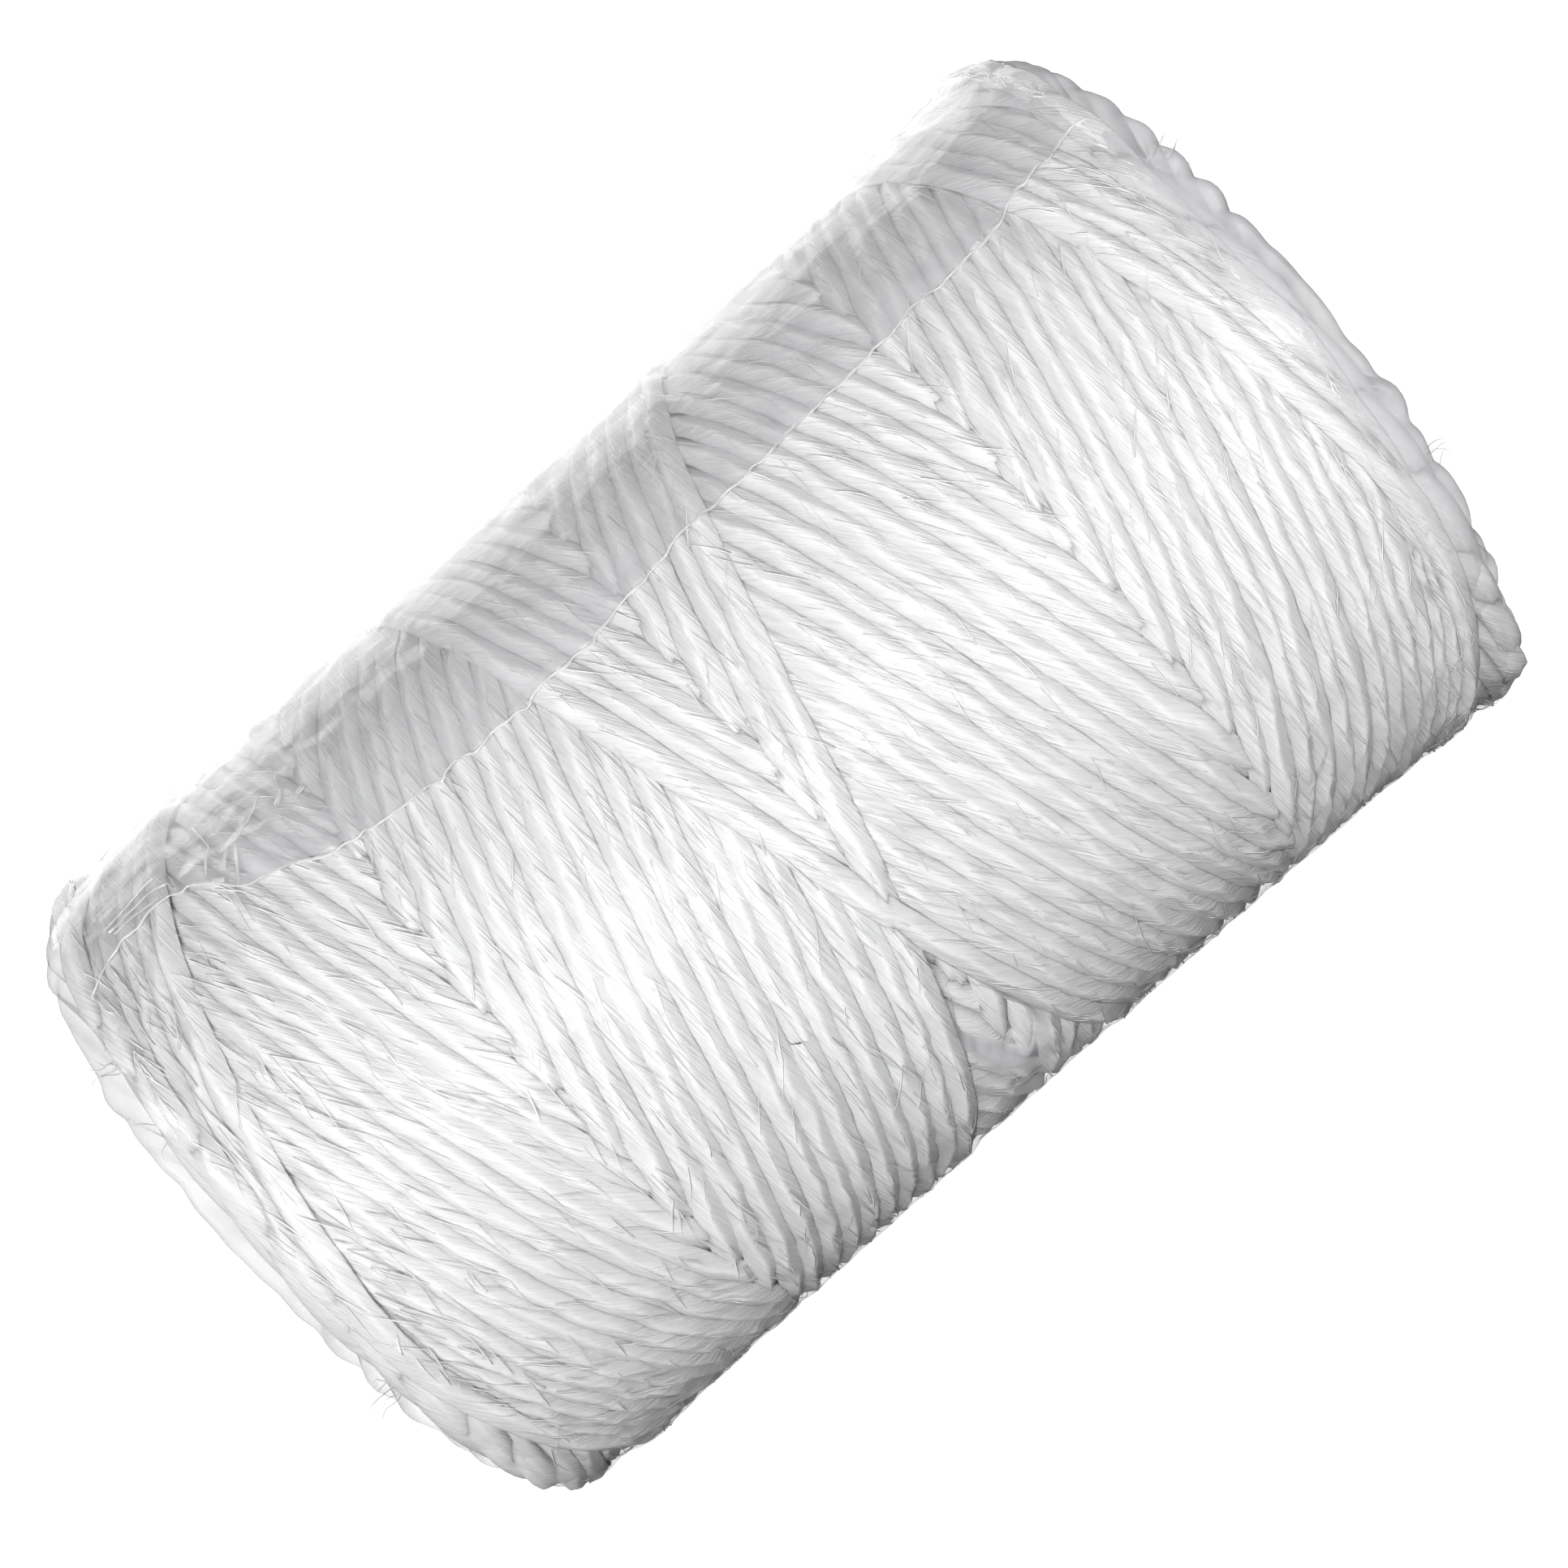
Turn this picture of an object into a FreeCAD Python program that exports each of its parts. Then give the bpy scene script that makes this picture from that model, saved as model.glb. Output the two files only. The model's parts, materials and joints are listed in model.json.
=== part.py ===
import FreeCAD, Part
import math
import os

# A small roll of white polypropylene twine, cross-wound on a paperboard tube without flanges
# and wrapped in clear shrink film. Millimetres. The roll lies on its side: its axis runs along
# +X, +Z is up, and the origin is below the middle of the roll, on the surface it lies on.

# Driving dimensions
ROLL_DIAMETER = 55.0          # over the film
ROLL_LENGTH = 86.0            # over the film's end folds
SETTLED_DEPTH = 0.35          # how far the soft winding has flattened where the roll lies
FILM_THICKNESS = 0.15         # a stand-in for film of about 0.03
RIM_RADIUS = 4.0              # rounding of the winding's two rims
CORE_BORE_RADIUS = 15.0
CORE_PLY_THICKNESS = 0.8
CORE_LENGTH = 84.0
BULLSEYE_RADIUS = 18.0        # the round hole that shrink film leaves at each end
FOLD_RADIUS = 24.0            # where the film's sleeve turns into its flat end fold
SEAM_ELEVATION = 74.0         # degrees above the front horizontal, seen from the +X end
SEAM_WIDTH = 0.7
SEAM_HEIGHT = 0.25
SEAM_LENGTH = 76.0

# Derived dimensions
ROLL_RADIUS = ROLL_DIAMETER / 2
AXIS_HEIGHT = ROLL_RADIUS - SETTLED_DEPTH
HALF_LENGTH = ROLL_LENGTH / 2
CORE_PLY_RADIUS = CORE_BORE_RADIUS + CORE_PLY_THICKNESS
CORE_OUTER_RADIUS = CORE_PLY_RADIUS + CORE_PLY_THICKNESS
WINDING_RADIUS = ROLL_RADIUS - FILM_THICKNESS
WINDING_HALF_LENGTH = HALF_LENGTH - FILM_THICKNESS
FILM_RIM_RADIUS = RIM_RADIUS + FILM_THICKNESS

ALONG = FreeCAD.Vector(1, 0, 0)


def on_axis(x):
    """The point of the roll's axis at x."""
    return FreeCAD.Vector(x, 0, AXIS_HEIGHT)


def cylinder(radius, half_length):
    """A solid cylinder about the roll's axis, centred on the roll."""
    return Part.makeCylinder(radius, 2 * half_length, on_axis(-half_length), ALONG)


def tube(inner_radius, outer_radius, half_length):
    """A tube about the roll's axis, centred on the roll."""
    return cylinder(outer_radius, half_length).cut(cylinder(inner_radius, half_length))


def settled_drum(radius, half_length, rim_radius, floor_gap):
    """The roll's outer shape at one depth: a drum with rounded rims and a narrow flat below."""
    side = radius - rim_radius
    end = half_length - rim_radius
    turn = rim_radius * math.sqrt(0.5)

    def at(x, r):
        return on_axis(x) + FreeCAD.Vector(0, 0, r)

    outline = Part.Wire([
        Part.LineSegment(at(-half_length, 0), at(-half_length, side)).toShape(),
        Part.Arc(at(-half_length, side), at(-end - turn, side + turn), at(-end, radius)).toShape(),
        Part.LineSegment(at(-end, radius), at(end, radius)).toShape(),
        Part.Arc(at(end, radius), at(end + turn, side + turn), at(half_length, side)).toShape(),
        Part.LineSegment(at(half_length, side), at(half_length, 0)).toShape(),
        Part.LineSegment(at(half_length, 0), at(-half_length, 0)).toShape(),
    ])
    drum = Part.Face(outline).revolve(on_axis(0), ALONG, 360)
    below = Part.makeBox(
        2 * ROLL_LENGTH,
        2 * ROLL_DIAMETER,
        ROLL_DIAMETER,
        FreeCAD.Vector(-ROLL_LENGTH, -ROLL_DIAMETER, floor_gap - ROLL_DIAMETER),
    )
    return drum.cut(below)


def winding_shape():
    """The winding's outer shape, filled to the axis."""
    return settled_drum(WINDING_RADIUS, WINDING_HALF_LENGTH, RIM_RADIUS, FILM_THICKNESS)


def wrapped_shape():
    """The outer shape of the roll in its film, filled to the axis."""
    return settled_drum(ROLL_RADIUS, HALF_LENGTH, FILM_RIM_RADIUS, 0.0)


def core_inner_ply():
    """The inner strip of the spiral-wound paperboard tube, with the bore."""
    return tube(CORE_BORE_RADIUS, CORE_PLY_RADIUS, CORE_LENGTH / 2)


def core_outer_ply():
    """The outer strip of the tube, which the twine is wound on."""
    return tube(CORE_PLY_RADIUS, CORE_OUTER_RADIUS, CORE_LENGTH / 2)


def twine_winding():
    """The whole length of twine, as one closed solid of the winding's outer shape."""
    return winding_shape().cut(cylinder(CORE_OUTER_RADIUS, ROLL_LENGTH))


def film_sleeve():
    """The film round the side and over both rims, tight on the winding."""
    skin = wrapped_shape().cut(winding_shape())
    return skin.cut(cylinder(FOLD_RADIUS, ROLL_LENGTH))


def film_end_fold(side):
    """The film's ring on one end face, from the sleeve in to the round hole. side is -1 or 1."""
    skin = wrapped_shape().cut(winding_shape())
    ring = tube(BULLSEYE_RADIUS, FOLD_RADIUS, ROLL_LENGTH)
    half = Part.makeBox(
        ROLL_LENGTH,
        2 * ROLL_DIAMETER,
        2 * ROLL_DIAMETER,
        FreeCAD.Vector(0 if side > 0 else -ROLL_LENGTH, -ROLL_DIAMETER, -ROLL_RADIUS),
    )
    return skin.common(ring).common(half)


def film_seam():
    """The raised bead of the film's lengthwise heat seal, standing on the sleeve."""
    bar = Part.makeBox(
        SEAM_LENGTH,
        SEAM_WIDTH,
        2 * SEAM_HEIGHT,
        FreeCAD.Vector(-SEAM_LENGTH / 2, -SEAM_WIDTH / 2, AXIS_HEIGHT + ROLL_RADIUS - SEAM_HEIGHT),
    )
    bar.rotate(on_axis(0), ALONG, 90.0 - SEAM_ELEVATION)
    return bar.cut(wrapped_shape())


def single_solid(shape, name):
    """The one solid of a sub-part, with a plain message if it isn't one."""
    if len(shape.Solids) != 1 or not shape.isValid():
        raise ValueError(f"{name} has {len(shape.Solids)} solids, valid: {shape.isValid()}")
    return shape.Solids[0]


def build():
    """Every sub-part by its node name."""
    return {
        "core_inner_ply": core_inner_ply(),
        "core_outer_ply": core_outer_ply(),
        "twine_winding": twine_winding(),
        "film_sleeve": film_sleeve(),
        "film_end_fold_left": film_end_fold(-1),
        "film_end_fold_right": film_end_fold(1),
        "film_seam": film_seam(),
    }


os.makedirs("parts", exist_ok=True)
for node, shape in build().items():
    solid = single_solid(shape, node)
    solid.exportStep(os.path.join("parts", node + ".step"))
    box = solid.BoundBox
    print(f"{node}: {solid.Volume:.1f} mm3, x {box.XMin:.2f}..{box.XMax:.2f}, "
          f"y {box.YMin:.2f}..{box.YMax:.2f}, z {box.ZMin:.2f}..{box.ZMax:.2f}")
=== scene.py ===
import bpy
import json
import math
import numpy as np
from mathutils import Matrix, Vector


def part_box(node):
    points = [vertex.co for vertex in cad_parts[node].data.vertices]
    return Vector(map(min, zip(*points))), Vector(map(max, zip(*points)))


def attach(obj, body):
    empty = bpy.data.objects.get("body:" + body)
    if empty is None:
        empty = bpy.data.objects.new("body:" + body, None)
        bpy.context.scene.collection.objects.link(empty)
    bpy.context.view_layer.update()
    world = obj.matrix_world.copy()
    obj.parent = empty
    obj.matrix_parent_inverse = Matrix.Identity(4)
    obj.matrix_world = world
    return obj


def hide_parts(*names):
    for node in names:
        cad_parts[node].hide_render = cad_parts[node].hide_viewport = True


# A roll of white split-film polypropylene twine on a paperboard tube, shrunk into clear film.
# Metres, in the CAD's frame: the roll's axis runs along +X, +Z is up and the floor is z = 0.
# A place on the roll is given by "along", its distance along the axis, by "turn", its angle round
# the axis, counted downwards over the front from the line of sight, and by its radius.

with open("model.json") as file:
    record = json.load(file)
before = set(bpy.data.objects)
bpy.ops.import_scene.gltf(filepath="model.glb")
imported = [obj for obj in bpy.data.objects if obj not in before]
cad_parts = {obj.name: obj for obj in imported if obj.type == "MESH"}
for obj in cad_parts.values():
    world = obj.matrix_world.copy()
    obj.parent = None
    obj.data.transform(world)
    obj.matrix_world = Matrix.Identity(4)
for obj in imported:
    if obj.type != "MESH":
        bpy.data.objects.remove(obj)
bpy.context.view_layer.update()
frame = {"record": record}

MM = 0.001
FULL_TURN = 2 * math.pi

# ---- Sizes from the frame ----
core_bore = next(m for m in frame["record"]["mounts"] if m["name"] == "core_bore")
AXIS_HEIGHT = core_bore["pos_m"][2]
_, core_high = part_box("core_outer_ply")
CORE_RADIUS = core_high.y
winding_low, winding_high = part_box("twine_winding")
WINDING_RADIUS = winding_high.z - AXIS_HEIGHT
HALF_LENGTH = winding_high.x        # of the winding
WINDING_FLOOR = winding_low.z
_, film_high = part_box("film_sleeve")
FILM_RADIUS = film_high.z - AXIS_HEIGHT
seam_low, seam_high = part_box("film_seam")
SEAM_HALF_LENGTH = seam_high.x
seam_up = (seam_low.z + seam_high.z) / 2 - AXIS_HEIGHT
seam_forward = -(seam_low.y + seam_high.y) / 2
SEAM_ELEVATION = math.atan2(seam_up, seam_forward)

# ---- The twine, and the way it is wound ----
RIM_RADIUS = 1.8 * MM
STEEPEST_RIM = 0.96                 # the share of it past which the rim falls no further
RIGHT_SWELL = 0.8 * MM              # the right end is wound a little fuller
LEFT_REACH = 0.5 * MM               # and the left end a little further
STRAND_WIDTH = 1.95 * MM
STRAND_CREST = 0.62 * MM            # from a strand's middle line up to its crest
STRAND_BELLY = 0.55 * MM            # and down to its underside
RIM_FLATTENING = 0.6                # the share of its height that a strand loses at the rims
RIDGE_SHARPNESS = 1.35              # above 1, a strand's sides are hollow and its crest thin
RIDGE_ROUNDING = 0.12               # how round its crest is, as a share of half its width
TOP_POINTS, BURIED_TOP_POINTS = 17, 5  # round a strand's upper side
TWIST_PITCH = 11.0 * MM
STRAND_SPACING = 0.0625 * WINDING_RADIUS  # along the axis, between neighbouring strands
BORDER_SPACING = 0.83 * WINDING_RADIUS  # along the axis, travelled in half a turn
TURNS_PER_STROKE = 4                # turns of the roll for one travel there and back
STROKES = 101.6
TURN_STEP = 0.016                   # radians of turn between points of the winding law
TURN_BACK_REACH = 24                # points over which the twine turns back at the rims
TURN_BACK_SLACK = 0.3 * MM          # how unevenly it turns back
WANDER = 0.035 * STRAND_SPACING     # how far a whole pass lies to one side
DRIFT = 0.03 * STRAND_SPACING       # and how far it drifts on its way
DRIFT_LENGTH = 0.03                 # strokes over which the drift changes
FINE_LENGTH = 16.5                  # metres of twine that show, or nearly
FINE_PIECES = 4
FINE_STEP = 1.8 * MM                # between control points, where the twine shows
BURIED_STEP = 8.0 * MM              # and where it is buried
BURIED_END_STEP = 3.0 * MM          # but this where it turns back at the ends
BURIED_END = 6.0 * MM               # from the roll's end to where that starts
VIEW_ELEVATION = math.radians(40)
VERTEX_TURN = math.radians(25)      # where the last two bands of strands cross
TRAVEL = BORDER_SPACING / math.pi   # along the axis, per radian of turn
STROKE_TURN = TURNS_PER_STROKE * FULL_TURN + STRAND_SPACING / TRAVEL
SEED = 4

# ---- The film ----
FILM_GAP = 0.10 * MM
FILM_RIM_RADIUS = 2.2 * MM
FILM_STEEPEST_RIM = 0.9
OPENING_RADIUS = 18.0 * MM
OVERLAP_ANGLE = math.radians(75)
KNOT_ALONG = -1.05 * WINDING_RADIUS  # where the film has gathered in a crinkled knot
KNOT_TURN = math.radians(-44)
KNOT_LENGTH, KNOT_HEIGHT = 5.0 * MM, 3.0 * MM
CLEAR_HAZE = 0.05                   # how milky the film is on the roll, from 0 to 1
RIM_HAZE = 0.65                     # over the rims
OVERLAP_HAZE = 0.32                 # where it lies double
PLEAT_HAZE = 0.16                   # and where it is gathered on the ends
HAZY_EDGE = 3.5 * MM
HAZY_TURN = math.radians(-30)
HOLLOW_DEPTH = 0.45 * MM            # over a hollow deeper than this the film gets grey milk, a painted shade in the hollow
# how much grey milk the film gets over the hollows, as painted shade
HOLLOW_PAINTED_SHADE = 0.85
HOLLOW_RIM = 6.0 * MM               # except this near the rims
HOLLOW_REACH = 14                   # cells of the film's map that a hollow may span
LOOSE_TURNS = {-1: math.radians(-50), 1: math.radians(-30)}  # where each end's film stands off most
BEAD_SIDES = 8                      # the weld and the creases are thin beads
BEAD_HEIGHT = 0.07 * MM
BEAD_STEP = 0.25 * MM               # between the places along a crease
SEAM_STEP = 0.22 * MM               # and along the weld
SEAM_BEAD_WIDTH = 0.09 * MM         # half the weld's width
SEAM_END_GAP = 0.6 * MM
PLEAT_HEIGHT = 0.50 * MM
PLEAT_LEAN = 0.012                  # radians
END_GAP = 0.12                      # millimetres from the winding's end out to the film's
PUCKER_HEIGHT, PUCKER_SPACING = 0.16 * MM, 1.1 * MM
OPENING_ROWS, RIM_ROWS = 22, 9      # rows of points on the film's ends and over its rims
OVERLAP_ROWS = 90
OVERLAP_FADE = ([0, 0.1, 0.7, 1], [1, 0.9, 0.8, 0.4])  # shares of its width, and of its milkiness

# ---- Loose fibres ----
FIBRE_COUNT = 6500
FIBRE_FLATNESS = 0.4
FIBRE_SIDES = 3
FIBRE_TAPER = ([0, 0.6, 1], [1, 0.8, 0.2])  # places along it, and the width kept there
TUFT_TAPER = ([0, 0.6, 1], [1, 0.8, 0.3])
TUFT_THICKNESS = 0.07 * MM
TUFT_DEPTH = 1.4 * MM               # from the winding's outline in to a tuft's root


# ---- Small helpers ----
def smooth(values, reach):
    """values along one line, averaged over about reach samples to each side."""
    weights = np.hanning(2 * reach + 3)[1:-1]
    padded = np.pad(values, reach, mode="edge")
    return np.convolve(padded, weights / weights.sum(), mode="valid")


def smooth_map(values, reach):
    """The map averaged over about reach cells each way."""
    weights = np.hanning(2 * reach + 3)[1:-1]
    weights = weights / weights.sum()
    padded = np.pad(values, ((reach, reach), (0, 0)), mode="edge")
    mixed = sum(w * padded[k:k + len(values)] for k, w in enumerate(weights))
    return sum(w * np.roll(mixed, k - reach, axis=1) for k, w in enumerate(weights))


def unit(vectors):
    return vectors / np.linalg.norm(vectors, axis=-1, keepdims=True)


def on_roll(along, turn, radius):
    """Points of the roll, which is pressed flat where it would reach below the floor."""
    elevation = VIEW_ELEVATION - turn
    across = -radius * np.cos(elevation)
    height = np.maximum(AXIS_HEIGHT + radius * np.sin(elevation), 0)
    return np.stack(np.broadcast_arrays(along, across, height), axis=-1)


def cells_at(along, turn, shape):
    """The rows and columns of a map of the winding that hold these places. Its rows run from end to
    end and its columns go round."""
    rows, columns = shape
    row = np.rint((along / HALF_LENGTH + 1) / 2 * (rows - 1)).clip(0, rows - 1)
    return row.astype(int), np.rint(turn / FULL_TURN * columns).astype(int) % columns


def lengths_along(line):
    return np.append(0, np.cumsum(np.linalg.norm(np.diff(line, axis=0), axis=1)))


def wavering(places, spacing, rng):
    """Smooth random values of about unit size at the places, with knots this far apart."""
    low, high = places.min(), places.max()
    knots = np.arange(low - spacing, high + 2 * spacing, spacing)
    values = rng.normal(0, 1, len(knots))
    at = (places - knots[0]) / spacing
    cell = np.floor(at).astype(int)
    blend = at - cell
    blend = blend * blend * (3 - 2 * blend)
    return values[cell] * (1 - blend) + values[cell + 1] * blend


def periodic_noise(turn, waves, rng):
    """A smooth random function of the turn that closes on itself, made of the given numbers of waves."""
    total = sum(rng.normal(0, 1) * np.cos(n * turn + rng.uniform(0, FULL_TURN)) for n in waves)
    return total / math.sqrt(len(waves) / 2)


def mesh_piece(name, points, faces, material, uvs=None, values=None):
    """A smooth mesh object from arrays of points and of four-cornered faces, with its material, joined
    to the root body. uvs are given for each corner of each face, values for each point."""
    points = points.reshape(-1, 3)
    mesh = bpy.data.meshes.new(name)
    mesh.vertices.add(len(points))
    mesh.vertices.foreach_set("co", np.ascontiguousarray(points, np.float32).ravel())
    mesh.loops.add(faces.size)
    mesh.loops.foreach_set("vertex_index", faces.astype(np.int32).ravel())
    mesh.polygons.add(len(faces))
    mesh.polygons.foreach_set("loop_start", np.arange(0, faces.size, faces.shape[1], dtype=np.int32))
    mesh.polygons.foreach_set("use_smooth", np.ones(len(faces), bool))
    if uvs is not None:
        layer = mesh.uv_layers.new(name="strand")
        layer.data.foreach_set("uv", np.ascontiguousarray(uvs, np.float32).ravel())
    for key, numbers in (values or {}).items():
        attribute = mesh.attributes.new(key, "FLOAT", "POINT")
        attribute.data.foreach_set("value", np.ascontiguousarray(numbers, np.float32).ravel())
    mesh.update(calc_edges=True)
    mesh.validate()
    piece = bpy.data.objects.new(name, mesh)
    bpy.context.scene.collection.objects.link(piece)
    mesh.materials.append(material)
    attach(piece, "root")
    return piece


def grid_faces(rows, columns, closed=False):
    """Faces of a grid of points stored row by row. A closed grid's last column joins its first."""
    start = np.arange(rows - 1)[:, None] * columns
    column = np.arange(columns if closed else columns - 1)[None]
    next_column = (column + 1) % columns
    corners = [start + column, start + next_column, start + columns + next_column,
               start + columns + column]
    return np.stack(np.broadcast_arrays(*corners), axis=-1).reshape(-1, 4)


# ---- Winding ----
def rim_inset(past_rim_start, radius=RIM_RADIUS, steepest=STEEPEST_RIM):
    """How far a rim has fallen away, this far past where it starts."""
    past = np.clip(past_rim_start, 0, steepest * radius)
    return radius - np.sqrt(radius**2 - past**2)


def travel_law(rng):
    """The twine's stroke count, place along the axis and turn, at close steps from its first end to
    its last. It crosses at an even slope and slows down towards each end of its travel."""
    stroke = np.linspace(0, STROKES, int(STROKES * STROKE_TURN / TURN_STEP))
    apex = TRAVEL * STROKE_TURN / 4
    straight = apex * (1 - 4 * np.abs(stroke % 1 - 0.5))
    radius = CORE_RADIUS + (WINDING_RADIUS - CORE_RADIUS) * stroke / STROKES
    reversals = np.floor(2 * stroke + 0.5).astype(int)
    slack = np.abs(rng.normal(0, TURN_BACK_SLACK, reversals.max() + 1))[reversals]
    inset = rim_inset(radius - WINDING_RADIUS + RIM_RADIUS)
    end = HALF_LENGTH - STRAND_WIDTH / 4 - inset - slack
    end = end + np.where(straight < 0, LEFT_REACH, 0)
    past_border = np.clip((np.abs(straight) - BORDER_SPACING) / (apex - BORDER_SPACING), 0, 1)
    along = np.sign(straight) * (np.abs(straight) - (apex - end) * past_border**2)
    first_turn = VERTEX_TURN - STROKE_TURN * (math.floor(STROKES) + 0.25)
    return stroke, smooth(along, TURN_BACK_REACH), first_turn + STROKE_TURN * stroke


def lateral_wander(stroke, rng):
    """Small sideways errors of each pass, so that neighbouring strands aren't exactly even."""
    passes = rng.normal(0, WANDER, int(2 * STROKES) + 3)
    drift = DRIFT * wavering(stroke, DRIFT_LENGTH, rng)
    return np.interp(2 * stroke, np.arange(len(passes)), passes) + drift


GRID_ALONG, GRID_ROUND = 240, 480   # cells of the winding's map
MIDDLE_RADIUS = (CORE_RADIUS + WINDING_RADIUS) / 2
FOOTPRINT = 0.34                    # half the share of its width that a strand rests on
FOOTPRINT_POINTS = 9
CROWN_FALL = 0.6                    # the share of its height that a strand lacks at its sides
BRIDGE_REACH = 7                    # points over which a strand spans a gap below it
SINKING = 0.25 * MM                 # the most that it is pulled in by what it spans
SHORTEST_PASS = 16                  # points of the winding law
FIRST_LAYER = 1.2 * MM              # what a strand adds, before the layers settle
LAYER_LIMITS = (0.25 * MM, 1.6 * MM)
SETTLING_ROUNDS = 5
SETTLING_POWER = 0.8                # below 1, so that the rounds don't overshoot
LEVELLING_REACH = 7                 # cells of the map
PRESSED_SHARE = 0.50                # what is left of a shallow place under the outline
PRESSED_DEPTH = 5.0 * MM            # places this deep keep their whole depth
GRID_PLACES = np.linspace(-HALF_LENGTH, HALF_LENGTH, GRID_ALONG)


def pile_up(stroke, along, turn, layer):
    """Lays the twine pass by pass over a map of the winding's surface, so that each strand rests on
    what is under it. layer is how much a strand adds, along the axis. Gives the strand's radius along
    its length and the last map."""
    surface = np.full((GRID_ALONG, GRID_ROUND), CORE_RADIUS)
    radius = np.zeros_like(along)
    across = np.linspace(-FOOTPRINT, FOOTPRINT, FOOTPRINT_POINTS)
    crown = 1 - CROWN_FALL * (across / FOOTPRINT) ** 2
    pass_number = np.floor(2 * stroke).astype(int)
    starts = np.searchsorted(pass_number, np.arange(pass_number.max() + 2))
    for first, last in zip(starts[:-1], starts[1:]):
        if last - first < SHORTEST_PASS:
            continue
        x, angle = along[first:last], turn[first:last]
        dx, round_it = np.gradient(x), np.gradient(angle) * MIDDLE_RADIUS
        step = np.hypot(dx, round_it)
        offset = across[None] * STRAND_WIDTH
        here_x = x[:, None] + offset * (round_it / step)[:, None]
        here_turn = angle[:, None] - offset * (dx / step)[:, None] / MIDDLE_RADIUS
        row, column = cells_at(here_x, here_turn, surface.shape)
        under = surface[row, column]
        rest = 0.5 * under.mean(1) + 0.5 * under.max(1)
        rest = np.maximum(smooth(rest, BRIDGE_REACH), rest - SINKING)
        added = np.interp(x, GRID_PLACES, layer)
        radius[first:last] = rest + added / 2
        np.maximum.at(surface, (row, column), rest[:, None] + added[:, None] * crown)
    return radius, surface


def settled_layers(stroke, along, turn):
    """How much a strand adds at each place along the axis, once the crowded ends are pressed to the
    roll's outline."""
    outline = outline_radius(GRID_PLACES)
    layer = np.full(GRID_ALONG, FIRST_LAYER)
    for _ in range(SETTLING_ROUNDS):
        _, surface = pile_up(stroke, along, turn, layer)
        grown = np.maximum(smooth(surface.mean(1) - CORE_RADIUS, 2), 0.5 * MM)
        change = ((outline - CORE_RADIUS) / grown) ** SETTLING_POWER
        layer = np.clip(layer * change, *LAYER_LIMITS)
    return layer


def outline_radius(along):
    """The radius that the winding is pressed to, at each place along it."""
    swell = RIGHT_SWELL * np.clip(along / HALF_LENGTH, 0, 1) ** 2
    return WINDING_RADIUS + swell - rim_inset(np.abs(along) - HALF_LENGTH + RIM_RADIUS)


def unevenness(surface, along, turn):
    """How far the surface swells past the winding's outline round each place, without the relief of
    single strands."""
    swell = smooth_map(surface, LEVELLING_REACH) - outline_radius(GRID_PLACES)[:, None]
    return swell[cells_at(along, turn, swell.shape)]


def pressed(radius, along, swell):
    """The strands' radii once the film has shrunk on: the outer layers are levelled and pressed into
    each other."""
    share = ((radius - CORE_RADIUS) / (WINDING_RADIUS - CORE_RADIUS)).clip(0, 1)
    depth = outline_radius(along) - radius + swell * share
    kept = PRESSED_SHARE + (1 - PRESSED_SHARE) * (depth / PRESSED_DEPTH).clip(0, 1)
    return outline_radius(along) - depth * kept


def twine_route():
    """The control points of the twine's line, from its first end on the tube to its last, tucked under
    the roll."""
    rng = np.random.default_rng(SEED)
    stroke, along, turn = travel_law(rng)
    along = along + lateral_wander(stroke, rng)
    layer = settled_layers(stroke, along, turn)
    radius, surface = pile_up(stroke, along, turn, layer)
    radius = pressed(radius, along, unevenness(surface, along, turn))
    line = on_roll(along, turn, smooth(radius, 4))
    length = lengths_along(line)
    buried = length < length[-1] - FINE_LENGTH
    near_end = np.abs(along) > HALF_LENGTH - BURIED_END
    spacing = np.where(buried, np.where(near_end, BURIED_END_STEP, BURIED_STEP), FINE_STEP)
    count = np.cumsum(np.gradient(length) / spacing)
    place = np.interp(np.arange(count[0], count[-1]), count, np.arange(len(count)))
    points = np.stack([np.interp(place, np.arange(len(line)), line[:, k]) for k in range(3)], axis=1)
    points[:, 2] = np.maximum(points[:, 2], WINDING_FLOOR + STRAND_BELLY)
    return points


def spline_line(points):
    """The points of the NURBS spline that has the route's points as its control points."""
    curve = bpy.data.curves.new("twine_route", "CURVE")
    curve.dimensions = "3D"
    spline = curve.splines.new("NURBS")
    spline.points.add(len(points) - 1)
    spline.points.foreach_set("co", np.column_stack([points, np.ones(len(points))]).ravel())
    spline.order_u = 3
    spline.use_endpoint_u = True
    spline.resolution_u = 2
    holder = bpy.data.objects.new("twine_route", curve)
    mesh = bpy.data.meshes.new_from_object(holder)
    line = np.zeros(len(mesh.vertices) * 3)
    mesh.vertices.foreach_get("co", line)
    bpy.data.meshes.remove(mesh)
    bpy.data.objects.remove(holder)
    bpy.data.curves.remove(curve)
    return line.reshape(-1, 3)


def strand_frame(line):
    """At each point of the line: its direction, the way out of the roll, and the way across the strand."""
    tangent = unit(np.gradient(line, axis=0))
    out = line * [0, 1, 1] - [0, 0, AXIS_HEIGHT]
    out = unit(out - (out * tangent).sum(1, keepdims=True) * tangent)
    return tangent, out, np.cross(out, tangent)


def round_noise(length, ring_turn, lobes, spacing, rng):
    """Smooth random values over a strand's skin: this many lobes round it, that change over the
    spacing along it."""
    strips = np.stack([wavering(length + k, spacing, rng) for k in range(lobes)], axis=1)
    lobe = (ring_turn * lobes) % lobes
    low = np.floor(lobe).astype(int)
    rows = np.arange(len(length))[:, None]
    blend = lobe - low
    return strips[rows, low % lobes] * (1 - blend) + strips[rows, (low + 1) % lobes] * blend


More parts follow.
